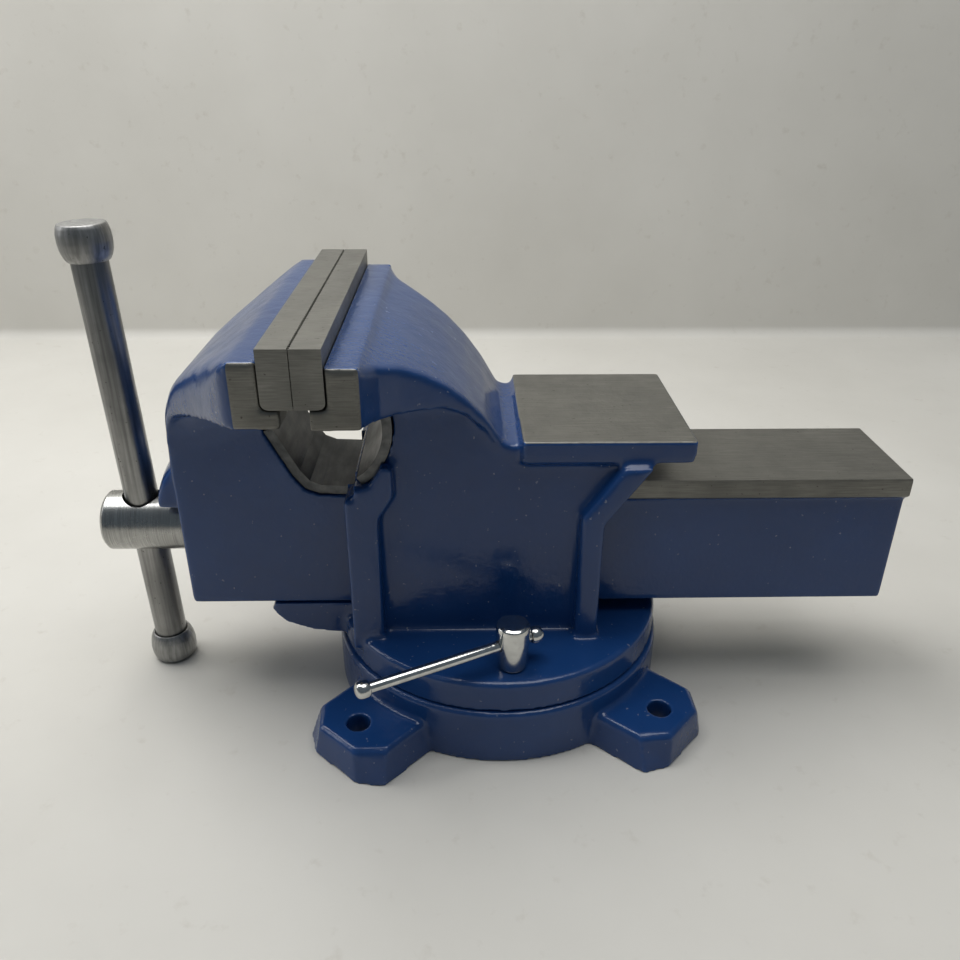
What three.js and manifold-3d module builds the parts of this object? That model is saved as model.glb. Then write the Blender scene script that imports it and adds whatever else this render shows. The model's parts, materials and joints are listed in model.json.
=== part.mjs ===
// Heavy 200 mm engineer's bench vise with swivel base, anvil and box slide.
// Millimetres, +Z up, +X along the slide towards its free end, origin at the swivel axis on the bench.
import * as THREE from "three";
import { mergeVertices } from "three/addons/utils/BufferGeometryUtils.js";
import Module from "manifold-3d";

const wasm = await Module();
wasm.setup();

// ---- driving dimensions -------------------------------------------------
const JAW_W = 200; // jaw width along Y
const SEAM_X = -95.1; // where the closed jaws meet
const PLATE_T = 13.9, PLATE_Z0 = 208.8, PLATE_Z1 = 236.5;
const HEAD_Z = 230.7, FHEAD_Z = 227.6; // casting top behind each plate
const SCREW_Z = 99; // lead screw axis height
const SLIDE_B = 33, SLIDE_TOP_B = 35.5; // half widths of the box slide and its ground top
const SLIDE_Z0 = 61, SLIDE_Z1 = 140.4, SLIDE_TOP_T = 11;
const SLIDE_END = 225.6;
const BODY_B = 47; // half width of the fixed casting
const FLANGE_R = 96.3, FLANGE_Z0 = 33.6, FLANGE_Z1 = 51.8;
const BASE_R = 98.6, BASE_Z1 = 33.2;
const LUG_R = 135, LUG_HALF = 27, LUG_Z = 20, LUG_HOLE_R = 6.5, LUG_HOLE_AT = 118.5, LUG_TURN = 47.85;
const ANVIL = { x0: 8.8, x1: 99.2, b: 51.7, z0: 157.6, z1: 171 };
const PIPE = { x: -95.1, z: 178, r: 33 };
const LOCK = { x: 4.6, y: -80, r: 9.2, top: 80, barZ: 67.5, barR: 2.9, turn: 205.8 };
const HEAD = { x0: -231, x1: -182.4, r: 17.6, barX: -209.5, holeR: 11 };
const BAR = { r: 9.4, z0: 0.6, z1: 270.8, lean: 1.2 };
const PIVOT_R = 8;

// ---- helpers --------------------------------------------------------------
const V = (x, y) => new THREE.Vector2(x, y);
function solid(geometry, matrix) {
  const g = geometry.index ? geometry.toNonIndexed() : geometry.clone();
  g.deleteAttribute("normal");
  g.deleteAttribute("uv");
  if (matrix) g.applyMatrix4(matrix);
  const m = mergeVertices(g, 1e-4);
  let made = new wasm.Manifold(new wasm.Mesh({ numProp: 3, vertProperties: new Float32Array(m.attributes.position.array), triVerts: new Uint32Array(m.index.array) }));
  return made;
}
const T = (x, y, z) => new THREE.Matrix4().makeTranslation(x, y, z);
const RX = (d) => new THREE.Matrix4().makeRotationX((d * Math.PI) / 180);
const RY = (d) => new THREE.Matrix4().makeRotationY((d * Math.PI) / 180);
const RZ = (d) => new THREE.Matrix4().makeRotationZ((d * Math.PI) / 180);
const mul = (...ms) => ms.reduce((a, b) => a.clone().multiply(b));
const box = (x0, x1, y0, y1, z0, z1) => solid(new THREE.BoxGeometry(x1 - x0, y1 - y0, z1 - z0), T((x0 + x1) / 2, (y0 + y1) / 2, (z0 + z1) / 2));
// cylinder (or cone) along +Z from z0 to z1
const cylZ = (r, z0, z1, n = 48, x = 0, y = 0, r2 = r) => solid(new THREE.CylinderGeometry(r2, r, z1 - z0, n), mul(T(x, y, (z0 + z1) / 2), RX(90)));
const cylX = (r, x0, x1, y, z, n = 40, r2 = r) => solid(new THREE.CylinderGeometry(r2, r, x1 - x0, n), mul(T((x0 + x1) / 2, y, z), RZ(-90)));
const cylY = (r, y0, y1, x, z, n = 40) => solid(new THREE.CylinderGeometry(r, r, y1 - y0, n), T(x, (y0 + y1) / 2, z));
// profile of [x, z] points drawn out along Y
function prismY(pts, y0, y1) {
  const s = new THREE.Shape(pts.map(([x, z]) => V(x, z)));
  const g = new THREE.ExtrudeGeometry(s, { depth: y1 - y0, bevelEnabled: false });
  return solid(g, mul(T(0, y1, 0), RX(90)));
}
// profile of [x, y] points drawn out along Z
function prismZ(pts, z0, z1, m) {
  const s = new THREE.Shape(pts.map(([x, y]) => V(x, y)));
  const g = new THREE.ExtrudeGeometry(s, { depth: z1 - z0, bevelEnabled: false });
  return solid(g, m ? mul(m, T(0, 0, z0)) : T(0, 0, z0));
}
const lathe = (pts, n = 64, m) => solid(new THREE.LatheGeometry(pts.map(([r, z]) => V(r, z)), n), m ? mul(m, RX(90)) : RX(90));
// sections: [{x, pts: [[y, z], ...]}], each with as many points, joined along X
function loft(sections) {
  const n = sections[0].pts.length, pos = [], idx = [];
  for (const s of sections) for (const [y, z] of s.pts) pos.push(s.x, y, z);
  for (let i = 0; i + 1 < sections.length; i++)
    for (let j = 0; j < n; j++) {
      const a = i * n + j, b = i * n + ((j + 1) % n), c = a + n, d = b + n;
      idx.push(a, c, b, b, c, d);
    }
  const cap = (s, base, flip) => {
    for (const [a, b, c] of THREE.ShapeUtils.triangulateShape(s.pts.map(([y, z]) => V(y, z)), []))
      flip ? idx.push(base + a, base + c, base + b) : idx.push(base + a, base + b, base + c);
  };
  const ccw = THREE.ShapeUtils.area(sections[0].pts.map(([y, z]) => V(y, z))) > 0;
  cap(sections[0], 0, ccw);
  cap(sections[sections.length - 1], (sections.length - 1) * n, !ccw);
  if (ccw) for (let k = 0; k < (sections.length - 1) * n * 2; k++) [idx[3 * k + 1], idx[3 * k + 2]] = [idx[3 * k + 2], idx[3 * k + 1]];
  const g = new THREE.BufferGeometry();
  g.setAttribute("position", new THREE.Float32BufferAttribute(pos, 3));
  g.setIndex(idx);
  let m = solid(g);
  return m;
}
const union = (...s) => s.reduce((a, b) => a.add(b));
const cut = (a, ...s) => s.reduce((x, b) => x.subtract(b), a);

const steelDark = new THREE.MeshStandardMaterial({ color: 0x5f5f5d, roughness: 0.4, metalness: 0.9 });
const steelGround = new THREE.MeshStandardMaterial({ color: 0x8a8983, roughness: 0.35, metalness: 0.9 });
const bluePaint = new THREE.MeshStandardMaterial({ color: 0x1b3470, roughness: 0.35, metalness: 0.1 });
const plated = new THREE.MeshStandardMaterial({ color: 0xc9c9c2, roughness: 0.2, metalness: 1.0 });
const blackOxide = new THREE.MeshStandardMaterial({ color: 0x202020, roughness: 0.5, metalness: 0.8 });
const bronze = new THREE.MeshStandardMaterial({ color: 0x9b7a42, roughness: 0.45, metalness: 0.9 });

const vise = new THREE.Group();
function put(name, s, material, parent = vise) {
  const m = s.getMesh(), n = m.numProp, v = new Float32Array(m.numVert * 3);
  for (let i = 0; i < m.numVert; i++) for (let k = 0; k < 3; k++) v[i * 3 + k] = m.vertProperties[i * n + k];
  const g = new THREE.BufferGeometry();
  g.setAttribute("position", new THREE.BufferAttribute(v, 3));
  g.setIndex(new THREE.BufferAttribute(new Uint32Array(m.triVerts), 1));
  g.computeVertexNormals();
  const mesh = new THREE.Mesh(g, material);
  mesh.name = name;
  parent.add(mesh);
  return mesh;
}

// half section of a jaw head over its core, mirrored to a closed ring
function headSection(zb, b, zc, zl, h, zt, e = 1.2) {
  const half = [[b, zb], [b, zc], [b + 0.06 * (h - b), zc + 0.42 * (zl - zc)], [b + 0.3 * (h - b), zc + 0.82 * (zl - zc)], [b + 0.62 * (h - b), zc + 0.97 * (zl - zc)], [h, zl], [h, zt - e], [h - 0.3 * e, zt - 0.3 * e], [h - e, zt]];
  return [...half, ...half.map(([y, z]) => [-y, z]).reverse()];
}

// ---- swivel base (root) ----------------------------------------------------
const ring = lathe([[0, 0], [30, 0], [32, 16], [58, 16], [61, 0], [BASE_R, 0], [BASE_R, BASE_Z1 - 1.5], [BASE_R - 1.5, BASE_Z1], [86, BASE_Z1], [86, 23], [92, 23], [92, 11], [68, 11], [68, 23], [74, 23], [74, BASE_Z1], [PIVOT_R + 0.4, BASE_Z1], [PIVOT_R + 0.4, 12], [0, 12]], 72);
let base = ring;
for (let k = 0; k < 4; k++) {
  const a = LUG_TURN + 90 * k, c = 12;
  const full = [[80, -LUG_HALF - 1], [LUG_R - c, -LUG_HALF], [LUG_R, -LUG_HALF + c + 1], [LUG_R, LUG_HALF - c - 1], [LUG_R - c, LUG_HALF], [80, LUG_HALF + 1]];
  const small = full.map(([x, y]) => [x > 100 ? x - 2.6 : x, y * 0.93]);
  // the sides flare towards the bench
  const foot = [[80, -LUG_HALF - 4], [LUG_R - 6, -LUG_HALF - 3], [LUG_R + 2, -LUG_HALF + 10], [LUG_R + 2, LUG_HALF - 10], [LUG_R - 6, LUG_HALF + 3], [80, LUG_HALF + 4]];
  const lug = loft2(foot, full, small, 0, LUG_Z - 2.2, LUG_Z);
  const place = lug.transform([...mat4(RZ(a))]);
  const keep = lathe([[93, -1], [140, -1], [140, 40], [93, 40], [93, -1]], 72);
  base = base.add(place.intersect(keep));
  const r = ((a * Math.PI) / 180);
  base = base.subtract(cylZ(LUG_HOLE_R, -1, 40, 28, LUG_HOLE_AT * Math.cos(r), LUG_HOLE_AT * Math.sin(r)));
}
function mat4(m) { return m.elements; }
// a plate with a bevelled top edge: `foot` at z0, in to `full` at z1, then to `small` at z2
function loft2(foot, full, small, z0, z1, z2) {
  const n = full.length, pos = [], idx = [];
  for (const [o, z] of [[foot, z0], [full, z1], [small, z2]]) for (const [x, y] of o) pos.push(x, y, z);
  for (let i = 0; i < 2; i++) for (let j = 0; j < n; j++) {
    const a = i * n + j, b = i * n + ((j + 1) % n);
    idx.push(a, b, a + n, b, b + n, a + n);
  }
  for (const [a, b, c] of THREE.ShapeUtils.triangulateShape(full.map(([x, y]) => V(x, y)), [])) { idx.push(a, c, b); idx.push(2 * n + a, 2 * n + b, 2 * n + c); }
  const g = new THREE.BufferGeometry();
  g.setAttribute("position", new THREE.Float32BufferAttribute(pos, 3));
  g.setIndex(idx);
  return solid(g);
}
put("swivel_base", base, bluePaint);

const arcAt = (r, a0, a1, n) => Array.from({ length: n + 1 }, (_, i) => {
  const a = ((a0 + ((a1 - a0) * i) / n) * Math.PI) / 180;
  return [PIPE.x + r * Math.cos(a), PIPE.z + r * Math.sin(a)];
});

// ---- fixed casting: flange, slide tunnel, ribs, jaw head, anvil ----------------
const flange = lathe([[0, FLANGE_Z0], [FLANGE_R, FLANGE_Z0], [FLANGE_R, FLANGE_Z1 - 2], [FLANGE_R - 2, FLANGE_Z1], [0, FLANGE_Z1]], 72);
const core = prismY([[-84, 40], [54, 40], [54, 124], [78, 157.6], [78, 160], [0, 168], [-30, 190], [-66, 190], [-66, 146], [-84, 146]], -BODY_B, BODY_B);
const fixedHead = loft([
  [-80.7, 227.6, 100, 198.2], [-66, 227.6, 100, 198.2], [-65.4, 225, 97, 197.6], [-60, 222.4, 84, 196], [-50, 218.5, 73.5, 195], [-40, 213, 67, 194], [-30, 206, 61.5, 193], [-20, 196.8, 56.5, 188], [-10, 184.4, 51.5, 177], [0, 168, 47.6, 162], [9, 166, 47.4, 161],
].map(([x, zt, h, zl]) => ({ x, pts: headSection(146, 42, Math.min(zl - 16, 176), zl, h, zt) })));
const nose = box(-88.6, -79, -JAW_W / 2, JAW_W / 2, 198.2, 208.2);
const anvil = box(ANVIL.x0, ANVIL.x1, -ANVIL.b, ANVIL.b, ANVIL.z0, ANVIL.z1);
const ribFront = prismY([[-84, 45], [-66, 45], [-66, 128], [-57.5, 141], [-57.5, 158], [-63, 160], [-70, 148], [-84, 145]], -56, 56);
const ribRear = prismY([[41, 45], [54, 45], [54, 124], [78, 157.8], [62, 157.8], [41, 128]], -57, 57);
const chin = prismY([[-84, 38], [-84, 60.5], [-132, 60.5], [-134, 56], [-126, 47], [-110, 41]], -SLIDE_B, SLIDE_B);
let body = union(flange, core, fixedHead, nose, anvil, ribFront, ribRear, chin);
const G = 0.35; // slide clearance
body = cut(
  body,
  box(-140, 120, -SLIDE_B - G, SLIDE_B + G, SLIDE_Z0 - G, 145),
  box(-140, 120, -SLIDE_TOP_B - G, SLIDE_TOP_B + G, SLIDE_Z1 - SLIDE_TOP_T - G, SLIDE_Z1 + G),
  box(-140, -78.6, -60, 60, 140, 152),
  cylY(PIPE.r, -60, 60, PIPE.x, PIPE.z, 48),
  prismY([...arcAt(PIPE.r - 2, -56.6, 33.6, 14), ...arcAt(PIPE.r + 5.3, 33.6, -56.6, 14)], -50.3, 50.3),
  cylZ(PIVOT_R + 0.5, 20, 70, 32),
  cylZ(17, 46, 70, 36),
  cylZ(5.4, 20, 60, 24, LOCK.x, LOCK.y), cylZ(5.4, 20, 60, 24, -LOCK.x, -LOCK.y),
  cylZ(5.4, 20, 70, 24, -52, 0),
  cylZ(9.5, 30, 48, 28, -52, 0),
);
for (const y of [-62, 62]) body = cut(body, cylX(4.2, -82, -72, y, 217.2, 20));
put("fixed_jaw_body", body, bluePaint);

// seat of the movable pipe jaw, 0.3 mm outside it
const JAW_GAP_SEAT = [[-127.0, 169.2], [-113.95, 143.2], [-107.75, 134.85], [-99.6, 131.5]];

// ---- movable casting: jaw head, front wall, box slide ------------------------------
const movHead = loft([
  [-179, 150, 33.2, 141], [-177.6, 168, 34.5, 158], [-175, 185, 38, 173], [-170, 195, 43, 180.5], [-165, 201, 48.5, 184.5], [-155, 209, 60, 188.5], [-145, 216, 73, 192], [-135, 223, 87, 196], [-127, 228, 97, 198], [-122, 230.7, 100, 199], [-109.4, 230.7, 100, 199],
].map(([x, zt, h, zl]) => ({ x, pts: headSection(SLIDE_Z0, SLIDE_B, Math.max(zl - 26, 120), zl, h, zt, x < -123 ? Math.min(9, (-123 - x) * 0.7) : 1.2) })));
const movNose = box(-110, -101.5, -JAW_W / 2, JAW_W / 2, 199, 208.2);
const movFoot = prismY([[-179, 61], [-79, 61], [-79, 144.5], [-112, 144.5], [-127, 170], [-127, 178], [-110, 199], [-150, 199], [-179, 150]], -SLIDE_B, SLIDE_B);
// round boss for the screw, with a hood swelling above it
const boss = union(
  lathe([[0, 0], [26, 0], [23, 3.4], [0, 3.4]], 48, mul(T(-178.6, 0, SCREW_Z), RY(-90))),
  lathe([[0, 0], [52, 0], [47, 5], [40, 10.5], [33, 14], [29, 14.8], [0, 14.8]], 56, mul(T(-178.6, 0, SCREW_Z), RY(-90))).intersect(box(-200, -170, -23, 23, SCREW_Z + 18.8, SCREW_Z + 60)),
);
const slide = box(-90, SLIDE_END - 1, -SLIDE_B, SLIDE_B, SLIDE_Z0, SLIDE_Z1 - 2);
const slideTop = box(-79.5, SLIDE_END, -SLIDE_TOP_B, SLIDE_TOP_B, SLIDE_Z1 - SLIDE_TOP_T, SLIDE_Z1);
let mov = union(movHead, movNose, movFoot, boss, slide, slideTop);
mov = cut(
  mov,
  prismY([...JAW_GAP_SEAT, [-79.8, 130.9], [-79.8, 146], [-62, 160], [-62, 200], [-101.6, 199.5], [-110, 198.6], [-127, 178]], -60, 60),
  box(-157, SLIDE_END + 5, -21.8, 21.8, SLIDE_Z0 - 5, 126),
  cylX(15.6, -200, -150, 0, SCREW_Z, 36),
);
for (const y of [-62, 62]) mov = cut(mov, cylX(4.2, -118, -108, y, 217.2, 20));
put("movable_jaw_slide", mov, bluePaint);

// ---- pipe jaws: hard inserts lining the gap below the plates ------------------------
put("fixed_pipe_jaw", prismY([...arcAt(PIPE.r, -56, 33, 14), ...arcAt(PIPE.r + 5, 33, -56, 14)], -50, 50), steelDark);
put("movable_pipe_jaw", prismY([[-122.2, 170.8], [-126.6, 168.8], [-113.6, 143], [-107.5, 135], [-99.5, 131.8], [-80.2, 131.2], [-80.2, 136.2], [-98, 136.8], [-104.5, 139.5], [-109.5, 146]], -31, 31), steelDark);

// ---- jaw plates and their screws -------------------------------------------------
function plate(x0, x1, face) {
  let p = box(x0, x1, -JAW_W / 2, JAW_W / 2, PLATE_Z0, PLATE_Z1);
  for (const y of [-62, 62]) {
    const [a, b] = face > 0 ? [x1 - 6.4, x1 + 1] : [x0 - 1, x0 + 6.4];
    p = cut(p, cylX(7.6, a, b, y, 217.2, 28), cylX(4.4, x0 - 1, x1 + 1, y, 217.2, 24));
  }
  return p;
}
const PX0 = SEAM_X - 0.2 - PLATE_T, PX1 = SEAM_X + 0.2 + PLATE_T;
put("movable_jaw_plate", plate(PX0, SEAM_X - 0.2, 1), steelGround);
put("fixed_jaw_plate", plate(SEAM_X + 0.2, PX1, -1), steelGround);
function placedScrew(name, face, y) {
  let s = union(cylX(7.0, 0, 5.4, 0, 0, 28), cylX(3.9, 5.2, 14.8, 0, 0, 24));
  s = cut(s, solid(new THREE.CylinderGeometry(3.1, 3.1, 6, 6), RZ(-90)));
  const mesh = put(name, s, blackOxide);
  // the head faces the seam
  if (face > 0) { mesh.rotation.z = Math.PI; mesh.position.set(SEAM_X - 0.9, y, 217.2); }
  else mesh.position.set(SEAM_X + 0.9, y, 217.2);
}
placedScrew("movable_plate_screw_front", 1, -62);
placedScrew("movable_plate_screw_rear", 1, 62);
placedScrew("fixed_plate_screw_front", -1, -62);
placedScrew("fixed_plate_screw_rear", -1, 62);

// ---- lead screw, nut, thrust parts --------------------------------------------------
const bob = (BAR.lean * Math.PI) / 180;
const screwProfile = [[0, HEAD.x0], [HEAD.r - 1.6, HEAD.x0], [HEAD.r, HEAD.x0 + 1.6], [HEAD.r, HEAD.x1 - 1], [HEAD.r - 1, HEAD.x1], [15, HEAD.x1], [15, -141], [12.6, -139]];
screwProfile.push([12.6, 140], [11, 143], [0, 143]);
let screw = lathe(screwProfile.map(([r, x]) => [r, x]), 40, mul(T(0, 0, SCREW_Z), RY(90)));
screw = cut(screw, solid(new THREE.CylinderGeometry(HEAD.holeR, HEAD.holeR, 60, 32), mul(T(HEAD.barX, 0, SCREW_Z), RX(90))));
put("lead_screw", screw, steelDark);
put("thrust_washer", cut(cylX(20.5, -156.6, -153.6, 0, SCREW_Z, 36), cylX(15.4, -160, -150, 0, SCREW_Z, 36)), steelDark);
put("retaining_collar", cut(cylX(20.5, -153.2, -142.2, 0, SCREW_Z, 36), cylX(15.4, -160, -140, 0, SCREW_Z, 36), cylZ(2.9, SCREW_Z, 140, 20, -147.7, 0)), steelDark);
put("collar_set_screw", cylZ(2.6, SCREW_Z + 15.7, SCREW_Z + 20, 20, -147.7, 0), blackOxide);
let nut = union(box(-72, -32, -19, 19, 61.2, 104), cylX(19, -72, -32, 0, SCREW_Z, 40));
nut = cut(nut, cylX(13.1, -80, -20, 0, SCREW_Z, 32), cylZ(4.6, 50, 78, 20, -52, 0));
put("lead_nut", nut, bronze);
let nutBolt = union(cylZ(9, 36.2, 45.6, 6, -52, 0), cylZ(4.3, 45.4, 76, 20, -52, 0));
put("nut_bolt", nutBolt, blackOxide);

// ---- tommy bar -------------------------------------------------------------------------
const barGroup = new THREE.Group();
barGroup.position.set(HEAD.barX, 0, SCREW_Z);
barGroup.rotation.y = -bob;
vise.add(barGroup);
const barTop = BAR.z1 - SCREW_Z, barBottom = BAR.z0 - SCREW_Z; // along the bar from the screw axis
put("tommy_bar", cylZ(BAR.r, barBottom + 12.9, barTop - 12.9, 36), steelDark, barGroup);
const knobAt = (name, s, z, up) => {
  const p = [[BAR.r + 0.3, -9.3], [10.6, -9.6], [11.9, -7.6], [13, -4.2], [13.5, 0.2], [13.35, 4.2], [12.6, 7.6], [11.8, 9.1], [10.9, 9.4], [0, 9.4], [0, -3.2], [BAR.r + 0.3, -3.2], [BAR.r + 0.3, -9.3]];
  const m = put(name, lathe(p, 36), steelDark, barGroup);
  m.position.z = z;
  if (!up) m.rotation.x = Math.PI;
};
knobAt("tommy_bar_upper_knob", 1, barTop - 9.4, true);
knobAt("tommy_bar_lower_knob", 1, barBottom + 9.4, false);

// ---- swivel pivot ---------------------------------------------------------------------------
put("pivot_stud", cylZ(PIVOT_R, 12.3, 59.6, 32), steelDark);
put("pivot_washer", cut(cylZ(15.5, 46.3, 48.8, 32), cylZ(PIVOT_R + 0.5, 40, 60, 32)), steelDark);
put("pivot_nut", cut(cylZ(14, 49.1, 58.8, 6), cylZ(PIVOT_R + 0.35, 40, 70, 32)), steelDark);

// ---- swivel locks: screw, cross bar with two balls, slot nut -----------------------------------
function lock(tag, turn) {
  const g = new THREE.Group();
  g.rotation.z = (turn * Math.PI) / 180;
  vise.add(g);
  const a = new THREE.Group();
  a.position.set(LOCK.x, LOCK.y, 0);
  g.add(a);
  let s = union(
    lathe([[0, 52.2], [LOCK.r - 1.6, 52.2], [LOCK.r, 70], [LOCK.r, LOCK.top - 2.4], [LOCK.r - 0.8, LOCK.top - 0.7], [LOCK.r - 2.6, LOCK.top], [0, LOCK.top]], 36),
    cylZ(4.9, 14.5, 52.4, 24),
  );
  const along = RZ(LOCK.turn);
  s = cut(s, solid(new THREE.CylinderGeometry(LOCK.barR + 0.4, LOCK.barR + 0.4, 30, 20), mul(T(0, 0, LOCK.barZ), along, RZ(-90))));
  put(tag + "_lock_screw", s, plated, a);
  const b = new THREE.Group();
  b.position.set(0, 0, LOCK.barZ);
  b.rotation.z = (LOCK.turn * Math.PI) / 180;
  a.add(b);
  put(tag + "_lock_bar", cylX(LOCK.barR, -12.6, 83, 0, 0, 20), plated, b);
  const ball = (name, x, dir) => {
    const q = lathe([[3.2, -3.7], [4.2, -3], [4.7, -0.4], [4.1, 2.4], [2.3, 3.9], [0, 3.9], [0, -1.2], [3.2, -1.2], [3.2, -3.7]], 28, RY(dir > 0 ? 90 : -90));
    const m = put(name, q, plated, b);
    m.position.x = x;
  };
  ball(tag + "_lock_bar_outer_ball", 84.6, 1);
  ball(tag + "_lock_bar_inner_ball", -14.2, -1);
  // the T-slot nut lies in the base's ring groove
  const slotNut = cut(box(LOCK.x - 12, LOCK.x + 12, LOCK.y - 9.5, LOCK.y + 9.5, 13.2, 22.4), cylZ(5.3, 5, 30, 24, LOCK.x, LOCK.y));
  put(tag + "_lock_slot_nut", slotNut, steelDark, g);
}
lock("front", 0);
lock("rear", 180);

export default vise;
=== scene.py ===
"""Bench vise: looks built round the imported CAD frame."""

import json
import math

import bmesh
import bpy
import numpy as np
from mathutils import Matrix, Vector

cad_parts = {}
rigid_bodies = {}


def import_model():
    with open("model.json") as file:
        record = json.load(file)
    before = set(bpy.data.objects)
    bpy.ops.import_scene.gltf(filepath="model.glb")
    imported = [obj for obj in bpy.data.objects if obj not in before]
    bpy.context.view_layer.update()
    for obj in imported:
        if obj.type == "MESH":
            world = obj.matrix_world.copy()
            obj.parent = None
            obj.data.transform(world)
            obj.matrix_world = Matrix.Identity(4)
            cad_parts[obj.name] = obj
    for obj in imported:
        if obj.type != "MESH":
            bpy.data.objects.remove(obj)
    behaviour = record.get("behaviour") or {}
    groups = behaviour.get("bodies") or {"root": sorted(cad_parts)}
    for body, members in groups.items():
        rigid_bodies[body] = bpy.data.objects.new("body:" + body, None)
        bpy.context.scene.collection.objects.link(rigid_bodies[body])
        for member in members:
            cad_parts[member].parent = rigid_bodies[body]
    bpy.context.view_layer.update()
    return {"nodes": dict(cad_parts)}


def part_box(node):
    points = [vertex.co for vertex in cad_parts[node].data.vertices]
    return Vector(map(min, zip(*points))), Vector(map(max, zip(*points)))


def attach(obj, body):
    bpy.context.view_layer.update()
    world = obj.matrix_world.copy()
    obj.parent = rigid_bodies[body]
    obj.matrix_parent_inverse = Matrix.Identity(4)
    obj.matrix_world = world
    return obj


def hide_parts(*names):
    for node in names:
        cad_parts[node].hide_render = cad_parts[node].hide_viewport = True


bpy.ops.object.select_all(action="SELECT")
bpy.ops.object.delete()
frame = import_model()
N = frame["nodes"]
MM = 0.001

# ------------------------------------------------------------------ camera
PITCH, YAW, ROLL = 0.469228, 0.023333, -0.004332
fwd = Vector((math.sin(YAW) * math.cos(PITCH), math.cos(YAW) * math.cos(PITCH), -math.sin(PITCH)))
right0 = Vector((math.cos(YAW), -math.sin(YAW), 0))
down0 = fwd.cross(right0)
rt = math.cos(ROLL) * right0 + math.sin(ROLL) * down0
dn = -math.sin(ROLL) * right0 + math.cos(ROLL) * down0
cam_data = bpy.data.cameras.new("camera")
cam_data.sensor_width = 36
cam_data.lens = 850.0 / 960.0 * 36
cam_data.clip_start, cam_data.clip_end = 0.02, 30
cam = bpy.data.objects.new("camera", cam_data)
rot = Matrix((rt, -dn, -fwd)).transposed().to_4x4()
cam.matrix_world = Matrix.Translation((-0.021796, -0.444752, 0.34928)) @ rot
bpy.context.scene.collection.objects.link(cam)
bpy.context.scene.camera = cam


# --------------------------------------------------------------- materials
class Tree:
    def __init__(self, name):
        self.m = bpy.data.materials.new(name)
        self.m.use_nodes = True
        self.t = self.m.node_tree
        self.p = self.t.nodes["Principled BSDF"]
        self.co = self.n("ShaderNodeTexCoord").outputs["Object"]

    def n(self, kind, **props):
        x = self.t.nodes.new(kind)
        for k, v in props.items():
            setattr(x, k, v)
        return x

    def link(self, a, b):
        self.t.links.new(a, b)

    def noise(self, scale, detail=3.0, rough=0.55, stretch=None):
        x = self.n("ShaderNodeTexNoise")
        x.inputs["Scale"].default_value = scale
        x.inputs["Detail"].default_value = detail
        x.inputs["Roughness"].default_value = rough
        co = self.co
        if stretch:
            mp = self.n("ShaderNodeMapping")
            mp.inputs["Scale"].default_value = stretch
            self.link(co, mp.inputs["Vector"])
            co = mp.outputs["Vector"]
        self.link(co, x.inputs["Vector"])
        return x.outputs["Fac"]

    def span(self, src, a, b, lo, hi):
        x = self.n("ShaderNodeMapRange")
        for k, v in zip(("From Min", "From Max", "To Min", "To Max"), (a, b, lo, hi)):
            x.inputs[k].default_value = v
        self.link(src, x.inputs["Value"])
        return x.outputs["Result"]

    def ramp(self, src, stops):
        x = self.n("ShaderNodeValToRGB")
        e = x.color_ramp.elements
        while len(e) < len(stops):
            e.new(0.5)
        for el, (pos, col) in zip(e, stops):
            el.position, el.color = pos, (*col, 1)
        self.link(src, x.inputs["Fac"])
        return x.outputs["Color"]

    def mix(self, fac, a, b, blend="MIX"):
        x = self.n("ShaderNodeMix", data_type="RGBA", blend_type=blend)
        f, ca, cb = x.inputs[0], x.inputs[6], x.inputs[7]
        for sock, val in ((f, fac), (ca, a), (cb, b)):
            if isinstance(val, bpy.types.NodeSocket):
                self.link(val, sock)
            elif sock is f:
                sock.default_value = val
            else:
                sock.default_value = (*val, 1)
        return x.outputs[2]

    def fmix(self, fac, a, b):
        x = self.n("ShaderNodeMix", data_type="FLOAT")
        for sock, val in ((x.inputs[0], fac), (x.inputs[2], a), (x.inputs[3], b)):
            if isinstance(val, bpy.types.NodeSocket):
                self.link(val, sock)
            else:
                sock.default_value = val
        return x.outputs[0]

    def bump(self, pairs):
        last = None
        for height, strength, dist in pairs:
            b = self.n("ShaderNodeBump")
            b.inputs["Strength"].default_value = strength
            b.inputs["Distance"].default_value = dist
            self.link(height, b.inputs["Height"])
            if last:
                self.link(last, b.inputs["Normal"])
            last = b.outputs["Normal"]
        self.link(last, self.p.inputs["Normal"])


def steel_nodes(t, lines, dark, light, speck=True):
    """Ground or turned steel: fine lines, cloudy tone and small dark specks."""
    fine = t.noise(1.0, 2.0, 0.6, lines)
    cloud = t.noise(28.0, 4.0, 0.6)
    col = t.ramp(fine, [(0.3, dark), (0.7, light)])
    col = t.mix(t.span(cloud, 0.35, 0.65, 0.0, 0.5), col, tuple(0.72 * c for c in dark))
    if speck:
        dots = t.noise(420.0, 2.0, 0.5)
        col = t.mix(t.span(dots, 0.70, 0.74, 0.0, 0.75), col, (0.03, 0.024, 0.018))
    return col, fine, cloud


def make_steel(name, lines, dark, light, r0, r1, speck=True, bump=0.00004, metal=1.0):
    t = Tree(name)
    col, fine, cloud = steel_nodes(t, lines, dark, light, speck)
    t.link(col, t.p.inputs["Base Color"])
    t.link(t.span(cloud, 0.3, 0.7, r0, r1), t.p.inputs["Roughness"])
    t.p.inputs["Metallic"].default_value = metal
    t.bump([(fine, 0.35, bump), (cloud, 0.2, bump * 3)])
    return t.m


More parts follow.
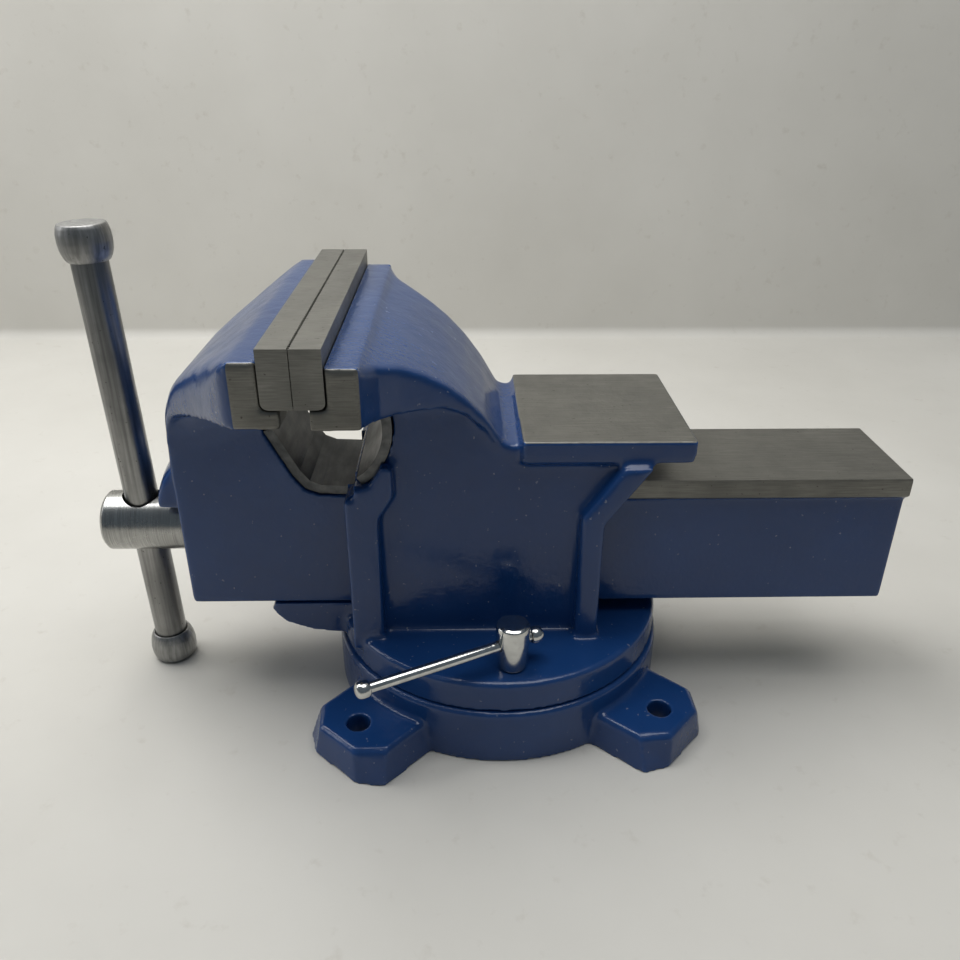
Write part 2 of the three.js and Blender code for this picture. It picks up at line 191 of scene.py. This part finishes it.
def make_casting():
    t = Tree("enamelled_casting")
    # enamel: deep blue with slow tonal drift, painted highlights on convex edges, painted shade in creases, orange peel
    # and small sags
    drift = t.noise(9.0, 4.0, 0.6)
    peel = t.noise(520.0, 2.0, 0.5)
    lump = t.noise(70.0, 3.0, 0.55)
    sag = t.noise(1.0, 3.0, 0.6, (150, 150, 45))
    blue = t.ramp(drift, [(0.25, (0.0068, 0.034, 0.125)), (0.55, (0.0092, 0.045, 0.160)), (0.8, (0.013, 0.058, 0.200))])
    geo = t.n("ShaderNodeNewGeometry")
    # painted highlight: convex edges (high pointiness) are lightened towards a pale blue
    edge = t.span(geo.outputs["Pointiness"], 0.515, 0.60, 0.0, 0.42)
    blue = t.mix(edge, blue, (0.06, 0.15, 0.40))
    # painted shade: concave creases and corners (low pointiness) are darkened towards a near-black blue, standing in
    # for ambient occlusion
    crease_shade = t.span(geo.outputs["Pointiness"], 0.485, 0.42, 0.0, 0.45)
    blue = t.mix(crease_shade, blue, (0.004, 0.009, 0.03))
    pits = t.noise(330.0, 2.0, 0.5)
    blue = t.mix(t.span(pits, 0.72, 0.75, 0.0, 0.75), blue, (0.17, 0.20, 0.27))
    # bare machined faces, marked by the mesh
    at = t.n("ShaderNodeAttribute", attribute_name="machined", attribute_type="GEOMETRY")
    mask = t.span(at.outputs["Fac"], 0.46, 0.54, 0.0, 1.0)
    bare, fine, cloud = steel_nodes(t, (60, 1500, 1500), (0.155, 0.151, 0.136), (0.245, 0.24, 0.216))
    t.link(t.mix(mask, blue, bare), t.p.inputs["Base Color"])
    t.link(t.fmix(mask, 0.0, 0.85), t.p.inputs["Metallic"])
    rb = t.span(cloud, 0.3, 0.7, 0.34, 0.5)
    rp = t.span(lump, 0.3, 0.7, 0.13, 0.27)
    t.link(t.fmix(mask, rp, rb), t.p.inputs["Roughness"])
    drip = t.noise(1.0, 2.0, 0.5, (260, 260, 90))
    near_edge = t.span(geo.outputs["Pointiness"], 0.512, 0.56, 0.0, 1.0)
    runs = t.n("ShaderNodeMath", operation="MULTIPLY")
    t.link(drip, runs.inputs[0])
    t.link(near_edge, runs.inputs[1])
    t.bump([(peel, 0.42, 0.00017), (lump, 0.55, 0.0008), (sag, 0.2, 0.0006), (runs.outputs[0], 0.5, 0.0012)])
    return t.m


CASTING = make_casting()
GROUND = make_steel("ground_steel", (90, 1700, 1700), (0.185, 0.182, 0.166), (0.29, 0.284, 0.262), 0.36, 0.5)
TURNED = make_steel("turned_steel", (1900, 40, 40), (0.30, 0.30, 0.29), (0.55, 0.55, 0.53), 0.2, 0.34, speck=False)
BAR = make_steel("bar_steel", (420, 420, 14), (0.19, 0.19, 0.186), (0.38, 0.377, 0.366), 0.27, 0.42)
PIPE = make_steel("pipe_jaw_steel", (200, 40, 200), (0.075, 0.077, 0.08), (0.15, 0.152, 0.152), 0.36, 0.54)
KNOB_STEEL = make_steel("knob_steel", (500, 500, 40), (0.24, 0.24, 0.233), (0.46, 0.457, 0.447), 0.36, 0.52)
PLATED = make_steel("bright_plating", (300, 300, 300), (0.62, 0.62, 0.60), (0.78, 0.78, 0.76), 0.1, 0.22, speck=False, bump=0.00002)
BLACK = make_steel("black_steel", (500, 500, 500), (0.016, 0.016, 0.016), (0.04, 0.04, 0.04), 0.32, 0.5, speck=False)
BRONZE = make_steel("cast_bronze", (260, 260, 260), (0.30, 0.19, 0.07), (0.44, 0.30, 0.13), 0.36, 0.52)


# ----------------------------------------------------------------- builders
def finish_mesh(o, mat, body, node, sharp=38):
    o.data.materials.clear()
    o.data.materials.append(mat)
    for p in o.data.polygons:
        p.use_smooth = True
    o.data.set_sharp_from_angle(angle=math.radians(sharp))
    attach(o, body)
    for n in [node] if isinstance(node, str) else node:
        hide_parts(n)
    return o


def new_obj(name, verts, faces):
    me = bpy.data.meshes.new(name)
    me.from_pydata([tuple(v) for v in verts], [], faces)
    bm = bmesh.new()
    bm.from_mesh(me)
    bmesh.ops.remove_doubles(bm, verts=bm.verts, dist=1e-7)
    bmesh.ops.recalc_face_normals(bm, faces=bm.faces)
    bm.to_mesh(me)
    bm.free()
    o = bpy.data.objects.new(name, me)
    bpy.context.scene.collection.objects.link(o)
    return o


def lathe(name, prof, matrix, seg=96):
    """prof: (radius, along) in mm about local Z, put in place by matrix (metres)."""
    vs, fs, m = [], [], len(prof)
    for i in range(seg):
        a = 2 * math.pi * i / seg
        for r, z in prof:
            vs.append(matrix @ Vector((r * MM * math.cos(a), r * MM * math.sin(a), z * MM)))
    for i in range(seg):
        j = (i + 1) % seg
        for k in range(m - 1):
            quad = [i * m + k, j * m + k, j * m + k + 1, i * m + k + 1]
            if prof[k][0] < 1e-9:
                quad = [i * m + k, j * m + k + 1, i * m + k + 1]
            elif prof[k + 1][0] < 1e-9:
                quad = [i * m + k, j * m + k, i * m + k + 1]
            fs.append(quad)
    return new_obj(name, vs, fs)


def rounded(prof, r=0.6, n=4):
    """Rounds the corners of an open profile, for turned edges that catch light."""
    out = [prof[0]]
    for a, b, c in zip(prof, prof[1:], prof[2:]):
        A, B, C = map(lambda p: np.array(p, float), (a, b, c))
        la, lc = np.linalg.norm(A - B), np.linalg.norm(C - B)
        k = min(r, la * 0.45, lc * 0.45)
        p, q = B + (A - B) / la * k, B + (C - B) / lc * k
        for i in range(n + 1):
            s = i / n
            out.append(tuple((1 - s) ** 2 * p + 2 * s * (1 - s) * B + s * s * q))
    out.append(prof[-1])
    return out


def boolean(o, cutter, op="DIFFERENCE"):
    md = o.modifiers.new("b", "BOOLEAN")
    md.operation, md.object, md.solver = op, cutter, "EXACT"
    dg = bpy.context.evaluated_depsgraph_get()
    me = bpy.data.meshes.new_from_object(o.evaluated_get(dg))
    o.modifiers.clear()
    o.data = me
    bpy.data.objects.remove(cutter)


def smoothstep(a, b, x):
    t = np.clip((x - a) / (b - a), 0, 1)
    return t * t * (3 - 2 * t)


def cast(node, name, body, weight, machined, voxel=1.3, rounds=14, relieve=None):
    """A casting: the CAD solid remeshed finely and eased at its edges, with bare faces marked."""
    src = N[node]
    me = src.data.copy()
    bm = bmesh.new()
    bm.from_mesh(me)
    bmesh.ops.remove_doubles(bm, verts=bm.verts, dist=2e-6)
    bm.to_mesh(me)
    bm.free()
    o = bpy.data.objects.new(name, me)
    bpy.context.scene.collection.objects.link(o)
    md = o.modifiers.new("r", "REMESH")
    md.mode, md.voxel_size = "VOXEL", voxel * MM
    dg = bpy.context.evaluated_depsgraph_get()
    new = bpy.data.meshes.new_from_object(o.evaluated_get(dg))
    o.modifiers.clear()
    o.data = new
    nv = len(new.vertices)
    p = np.zeros(nv * 3)
    new.vertices.foreach_get("co", p)
    p = p.reshape(-1, 3) / MM
    e = np.zeros(len(new.edges) * 2, int)
    new.edges.foreach_get("vertices", e)
    e = e.reshape(-1, 2)
    deg = np.maximum(np.bincount(e.ravel(), minlength=nv), 1)[:, None]
    w = weight(p)[:, None]
    for _ in range(rounds):
        s = np.stack([np.bincount(e[:, 0], p[e[:, 1], k], nv) + np.bincount(e[:, 1], p[e[:, 0], k], nv) for k in range(3)], 1)
        p = p + 0.5 * w * (s / deg - p)
    if relieve:
        p = relieve(p)
    new.vertices.foreach_set("co", (p * MM).ravel())
    new.update()
    nrm = np.zeros(nv * 3)
    new.vertices.foreach_get("normal", nrm)
    at = new.attributes.new("machined", "FLOAT", "POINT")
    at.data.foreach_set("value", np.clip(machined(p, nrm.reshape(-1, 3)), 0, 1))
    return finish_mesh(o, CASTING, body, node, 60)


def inside(v, lo, hi, soft=0.8):
    """1 inside the interval, 0.5 on its ends, 0 outside."""
    return np.clip(0.5 + np.minimum(v - lo, hi - v) / (2 * soft), 0, 1)


# ------------------------------------------------------------------ castings
def body_weight(p):
    x, y, z = p.T
    w = np.ones(len(p))
    w[z < 53.5] = 0.3
    w[(np.abs(y) < 37) & (z > 59.6) & (z < 142) & (x > -150)] = 0.0
    w[(z > 162.5) & (x > 9.5)] = 0.10
    w[(np.hypot(x + 95.1, z - 178) < 39.6) & (np.abs(y) < 51.5)] = 0.0
    for s in (1, -1):
        w[np.hypot(x - s * 4.6, y + s * 80) < 8] = 0.1
    w[(np.hypot(x, y) < 20) | (np.hypot(x + 52, y) < 12)] = 0.05
    ends = (np.abs(y) > 97) & (x < -64)
    w[ends] = 0.35
    w[(x < -79.5) & (x > -90) & (z > 196)] = 0.12
    return w


def relieve_tunnel(p):
    """Open the tunnel's inner corners a little, where the remesh would bevel them into the slide."""
    x, y, z = p.T.copy()
    a = np.abs(y)
    inner = (x > -90) & (x < 68)
    up = inner & (a > 33.9) & (a < 36.3) & (z > 139.2) & (z < 141.4)
    down = inner & (a > 32.6) & (a < 36.3) & (z > 126.4) & (z < 130.0)
    wall = inner & (a > 34.4) & (a < 36.3) & (z > 126.4) & (z < 141.4)
    p[down & ~wall, 1] += 0.6 * np.sign(y[down & ~wall])
    p[wall, 1] = np.maximum(a[wall], 36.2) * np.sign(y[wall])
    p[up, 2] += 0.6
    p[down, 2] -= 0.6
    return p


def body_machined(p, n):
    x, y, z = p.T
    top = inside(z, 170.2, 190, 0.5) * (x > 7.5) * np.clip((n[:, 2] - 0.55) * 5, 0, 1)
    end = inside(np.abs(y), 98.7, 120) * inside(x, -95, -64.6) * inside(z, 190, 240)
    nose = inside(x, -95, -80.0) * inside(z, 196, 226)
    return np.maximum(np.maximum(top, end), nose)


def jaw_weight(p):
    x, y, z = p.T
    w = np.ones(len(p))
    w[(x > -84) & (z < 128)] = 0.45
    w[(x > -81) & (z > 127.5)] = 0.05
    w[(np.abs(y) < 23.5) & (z < 128) & (x > -159.5)] = 0.0
    w[np.hypot(y, z - 99) < 17.5] = 0.05
    w[(x > -131) & (x < -78) & (z > 130) & (z < 172) & (np.abs(y) < 38)] = 0.08
    w[(np.abs(y) > 97) & (x > -124)] = 0.35
    w[(x > -111.5) & (z > 196)] = 0.12
    return w


def jaw_machined(p, n):
    x, y, z = p.T
    top = inside(z, 129.1, 150, 0.5) * inside(x, -79.0, 240, 0.6) * np.maximum(inside(np.abs(y), 33.3, 60, 0.3), np.maximum(np.clip((n[:, 2] - 0.5) * 5, 0, 1), inside(x, 224.8, 240, 0.4)))
    end = inside(np.abs(y), 98.7, 120) * inside(x, -122.2, -90) * inside(z, 190, 240)
    nose = inside(x, -109.9, -90) * inside(z, 196, 230)
    return np.maximum(np.maximum(top, end), nose)


def base_weight(p):
    x, y, z = p.T
    r = np.hypot(x, y)
    w = np.ones(len(p)) * 0.16
    w[(r < 101) & (r > 97) & (z > 17)] = 0.5
    w[(r < 95) & (z < 32.6)] = 0.0
    w[r < 93] = np.minimum(w[r < 93], 0.1)
    for k in range(4):
        a = math.radians(47.85 + 90 * k)
        w[np.hypot(x - 118.5 * math.cos(a), y - 118.5 * math.sin(a)) < 9] = 0.1
    w[z < 1.2] = np.minimum(w[z < 1.2], 0.25)
    return w


def bare_none(p, n):
    return np.zeros(len(p))


cast("fixed_jaw_body", "fixed_jaw_casting", "body", body_weight, body_machined, relieve=relieve_tunnel)
cast("movable_jaw_slide", "movable_jaw_casting", "movable_jaw", jaw_weight, jaw_machined)
cast("swivel_base", "swivel_base_casting", "base", base_weight, bare_none)


# ---------------------------------------------------------------- jaw plates
def jaw_plate(name, node, screws, face):
    """A hardened plate with a diamond serrated gripping face and eased lower corners."""
    lo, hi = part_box(node)
    lo, hi = lo / MM, hi / MM
    ny, nz = 480, 68
    ys, zs = np.linspace(lo.y, hi.y, ny + 1), np.linspace(lo.z, hi.z, nz + 1)
    front, back = (hi.x, lo.x) if face > 0 else (lo.x, hi.x)
    Y, Z = np.meshgrid(ys, zs, indexing="ij")
    u, v = (Y + Z) / 3.0, (Y - Z) / 3.0
    g = np.minimum(np.abs(u - np.round(u)), np.abs(v - np.round(v)))
    fade = np.clip((99.6 - np.abs(Y)) / 0.8, 0, 1)
    depth = 0.8 * (1 - np.clip(g / 0.24, 0, 1)) * fade
    X = front - face * depth
    r = 3.4
    dz = np.clip(r - (Z - lo.z), 0, r)
    XB = back + face * (r - np.sqrt(np.maximum(r * r - dz * dz, 0)))
    idx = lambda i, j: i * (nz + 1) + j
    cnt = (ny + 1) * (nz + 1)
    vs = [(X[i, j] * MM, Y[i, j] * MM, Z[i, j] * MM) for i in range(ny + 1) for j in range(nz + 1)]
    vs += [(XB[i, j] * MM, Y[i, j] * MM, Z[i, j] * MM) for i in range(ny + 1) for j in range(nz + 1)]
    fs = []
    for i in range(ny):
        for j in range(nz):
            fs.append([idx(i, j), idx(i + 1, j), idx(i + 1, j + 1), idx(i, j + 1)])
            fs.append([cnt + idx(i, j), cnt + idx(i, j + 1), cnt + idx(i + 1, j + 1), cnt + idx(i + 1, j)])
    for i in range(ny):
        for j in (0, nz):
            fs.append([idx(i, j), idx(i + 1, j), cnt + idx(i + 1, j), cnt + idx(i, j)])
    for j in range(nz):
        for i in (0, ny):
            fs.append([idx(i, j), idx(i, j + 1), cnt + idx(i, j + 1), cnt + idx(i, j)])
    o = new_obj(name, vs, fs)
    bm = bmesh.new()
    bm.from_mesh(o.data)
    bmesh.ops.dissolve_degenerate(bm, dist=1e-7, edges=bm.edges)
    bm.to_mesh(o.data)
    bm.free()
    for y in (-62, 62):
        for rad, a, b in ((7.6, -1, 6.4), (4.4, -2, 20)):
            m = Matrix.Translation(((front + face) * MM, y * MM, 217.2 * MM)) @ Matrix.Rotation(math.radians(-90 * face), 4, "Y")
            c = lathe("cut", [(0, 0), (rad, 0), (rad, b + 1), (0, b + 1)], m, 48)
            boolean(o, c)
    return finish_mesh(o, GROUND, "movable_jaw" if face > 0 else "body", node, 25)


jaw_plate("movable_plate_serrated", "movable_jaw_plate", None, 1)
jaw_plate("fixed_plate_serrated", "fixed_jaw_plate", None, -1)

# ----------------------------------------------------------------- lead screw
lo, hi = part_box("lead_screw")
SX = Matrix.Translation((0, 0, 99 * MM)) @ Matrix.Rotation(math.radians(90), 4, "Y")
x0 = lo.x / MM
head = lathe("screw_head", rounded([(0, x0), (15.6, x0), (17.6, x0 + 2.0), (17.6, -183.2), (16.8, -182.4), (15, -182.4), (15, -141.2), (0, -141.2)], 0.5), SX, 128)
hole = lathe("cut", [(0, -40), (11, -40), (11, 40), (0, 40)], Matrix.Translation((-209.5 * MM, 0, 99 * MM)), 64)
boolean(head, hole)
finish_mesh(head, TURNED, "spindle", "lead_screw", 32)


def thread(name, a, b, pitch, major, minor, seg=48, per=14):
    """A right-hand trapezoidal thread along +X, closed at both ends."""
    n = int(round((b - a) / pitch * per))
    vs, fs = [], []
    for i in range(n + 1):
        x = a + (b - a) * i / n
        fade = min(1.0, (b - x) / 4)
        for k in range(seg):
            th = 2 * math.pi * k / seg
            f = (x / pitch - th / (2 * math.pi)) % 1.0
            h = np.interp(f, [0, 0.32, 0.45, 0.87, 1.0], [1, 1, 0, 0, 1])
            r = (minor + (major - minor) * h) * (0.9 + 0.1 * fade)
            vs.append((x * MM, r * MM * math.cos(th), (99 + r * math.sin(th)) * MM))
    for i in range(n):
        for k in range(seg):
            q = (k + 1) % seg
            fs.append([i * seg + k, i * seg + q, (i + 1) * seg + q, (i + 1) * seg + k])
    fs.append(list(range(seg)))
    fs.append([n * seg + k for k in range(seg)])
    return new_obj(name, vs, fs)


finish_mesh(thread("screw_thread", -141.1, 142.8, 6.0, 12.5, 9.6), BAR, "spindle", "lead_screw", 30)

# ------------------------------------------------------------------ tommy bar
b = math.radians(1.2)
TB = Matrix.Translation((-209.5 * MM, 0, 99 * MM)) @ Matrix.Rotation(-b, 4, "Y")
top, bot = 270.8 - 99, 0.6 - 99
bar = lathe("tommy_bar_round", rounded([(0, bot + 12.9), (9.4, bot + 12.9), (9.4, top - 12.9), (0, top - 12.9)], 0.4), TB, 96)
finish_mesh(bar, BAR, "tommy", "tommy_bar", 35)
KNOB = [(0, -3.2), (9.65, -3.2), (9.65, -9.3), (10.6, -9.6), (11.9, -7.6), (13.0, -4.2), (13.5, 0.2), (13.35, 4.2), (12.6, 7.6), (11.8, 9.1), (10.9, 9.4), (0, 9.4)]
for nm, z, up in (("upper", top - 9.4, True), ("lower", bot + 9.4, False)):
    m = TB @ Matrix.Translation((0, 0, z * MM))
    if not up:
        m = m @ Matrix.Rotation(math.pi, 4, "X")
    finish_mesh(lathe(f"tommy_knob_{nm}", rounded(KNOB, 0.9), m, 96), KNOB_STEEL, "tommy", f"tommy_bar_{nm}_knob", 40)

# ------------------------------------------------------------------- swivel locks
for tag, turn in (("front", 0), ("rear", 180)):
    A = Matrix.Rotation(math.radians(turn), 4, "Z") @ Matrix.Translation((4.6 * MM, -80 * MM, 0))
    s = lathe(f"{tag}_lock_head", rounded([(0, 14.6), (4.9, 14.6), (4.9, 52.3), (7.4, 52.3), (7.7, 53), (9.1, 68), (9.2, 76.6), (8.7, 78.9), (7.0, 79.8), (0, 80)], 0.5), A, 72)
    D = A @ Matrix.Translation((0, 0, 67.5 * MM)) @ Matrix.Rotation(math.radians(205.8), 4, "Z") @ Matrix.Rotation(math.radians(90), 4, "Y")
    boolean(s, lathe("cut", [(0, -20), (3.3, -20), (3.3, 20), (0, 20)], D, 32))
    finish_mesh(s, PLATED, f"{tag}_lock", f"{tag}_lock_screw", 32)
    finish_mesh(lathe(f"{tag}_lock_rod", rounded([(0, -12.6), (2.9, -12.6), (2.9, 83), (0, 83)], 0.3), D, 40), PLATED, f"{tag}_bar", f"{tag}_lock_bar", 35)
    ball = [(0, -1.2), (3.15, -1.2), (3.15, -3.7), (3.9, -3.4), (4.5, -2.2), (4.7, -0.4), (4.6, 1.1), (4.0, 2.6), (2.9, 3.5), (1.5, 3.9), (0, 3.9)]
    for w, x, fl in (("outer", 84.6, False), ("inner", -14.2, True)):
        m = D @ Matrix.Translation((0, 0, x * MM))
        if fl:
            m = m @ Matrix.Rotation(math.pi, 4, "X")
        finish_mesh(lathe(f"{tag}_rod_{w}_ball", rounded(ball, 0.6), m, 56), PLATED, f"{tag}_bar", f"{tag}_lock_bar_{w}_ball", 45)

# ---------------------------------------------------------- CAD nodes that stay
KEEP = {
    "fixed_pipe_jaw": PIPE, "movable_pipe_jaw": PIPE, "lead_nut": BRONZE, "nut_bolt": BLACK,
    "collar_set_screw": BLACK, "retaining_collar": BAR, "thrust_washer": GROUND,
    "pivot_stud": BAR, "pivot_washer": PLATED, "pivot_nut": BAR,
    "front_lock_slot_nut": BAR, "rear_lock_slot_nut": BAR,
    "movable_plate_screw_front": BLACK, "movable_plate_screw_rear": BLACK,
    "fixed_plate_screw_front": BLACK, "fixed_plate_screw_rear": BLACK,
}
for nm, mat in KEEP.items():
    if nm not in N:
        continue
    d = N[nm].data
    d.materials.clear()
    d.materials.append(mat)
    for p in d.polygons:
        p.use_smooth = True
    d.set_sharp_from_angle(angle=math.radians(30))

# --------------------------------------------------------------- floor and light
def stage_room():
    """Pale floor that turns up into a pale wall behind, with a soft bend between them."""
    prof = [(-2.2, 0.0), (0.662, 0.0)]
    for k in range(1, 13):
        a = math.pi / 2 * k / 12
        prof.append((0.662 + 0.014 * math.sin(a), 0.014 * (1 - math.cos(a))))
    prof.append((0.676, 2.4))
    vs, fs = [], []
    for x in (-2.6, 2.6):
        vs += [(x, y, z) for y, z in prof]
    m = len(prof)
    for k in range(m - 1):
        fs.append([k, m + k, m + k + 1, k + 1])
    o = new_obj("room", vs, fs)
    t = Tree("room_plaster")
    a = t.noise(3.0, 5.0, 0.6)
    c = t.noise(70.0, 4.0, 0.6)
    col = t.ramp(a, [(0.3, (0.56, 0.54, 0.49)), (0.7, (0.63, 0.61, 0.56))])
    col = t.mix(t.span(c, 0.62, 0.78, 0.0, 0.35), col, (0.42, 0.38, 0.32))
    t.link(col, t.p.inputs["Base Color"])
    t.p.inputs["Roughness"].default_value = 0.75
    t.bump([(c, 0.15, 0.0006)])
    o.data.materials.append(t.m)
    for p in o.data.polygons:
        p.use_smooth = True


stage_room()


def area(name, loc, target, size, power, color=(1, 1, 1)):
    l = bpy.data.lights.new(name, "AREA")
    l.shape, l.size, l.energy, l.color = "DISK", size, power, color
    o = bpy.data.objects.new(name, l)
    o.location = loc
    o.rotation_mode = "QUATERNION"
    o.rotation_quaternion = (Vector(target) - Vector(loc)).to_track_quat("-Z", "Y")
    bpy.context.scene.collection.objects.link(o)


area("overhead", (-0.55, 0.24, 1.25), (-0.12, 0.08, 0.1), 0.95, 12.3)
area("left_fill", (-1.5, 0.1, 0.75), (0, 0, 0.15), 0.8, 4.2)
area("wall_wash", (0.25, -0.1, 1.7), (0.4, 0.68, 0.7), 1.2, 12.5)
world = bpy.data.worlds.new("soft_room")
world.use_nodes = True
bg = world.node_tree.nodes["Background"]
bg.inputs["Color"].default_value = (0.70, 0.85, 1.0, 1)
bg.inputs["Strength"].default_value = 0.15
bpy.context.scene.world = world
bpy.context.scene.view_settings.view_transform = "Standard"
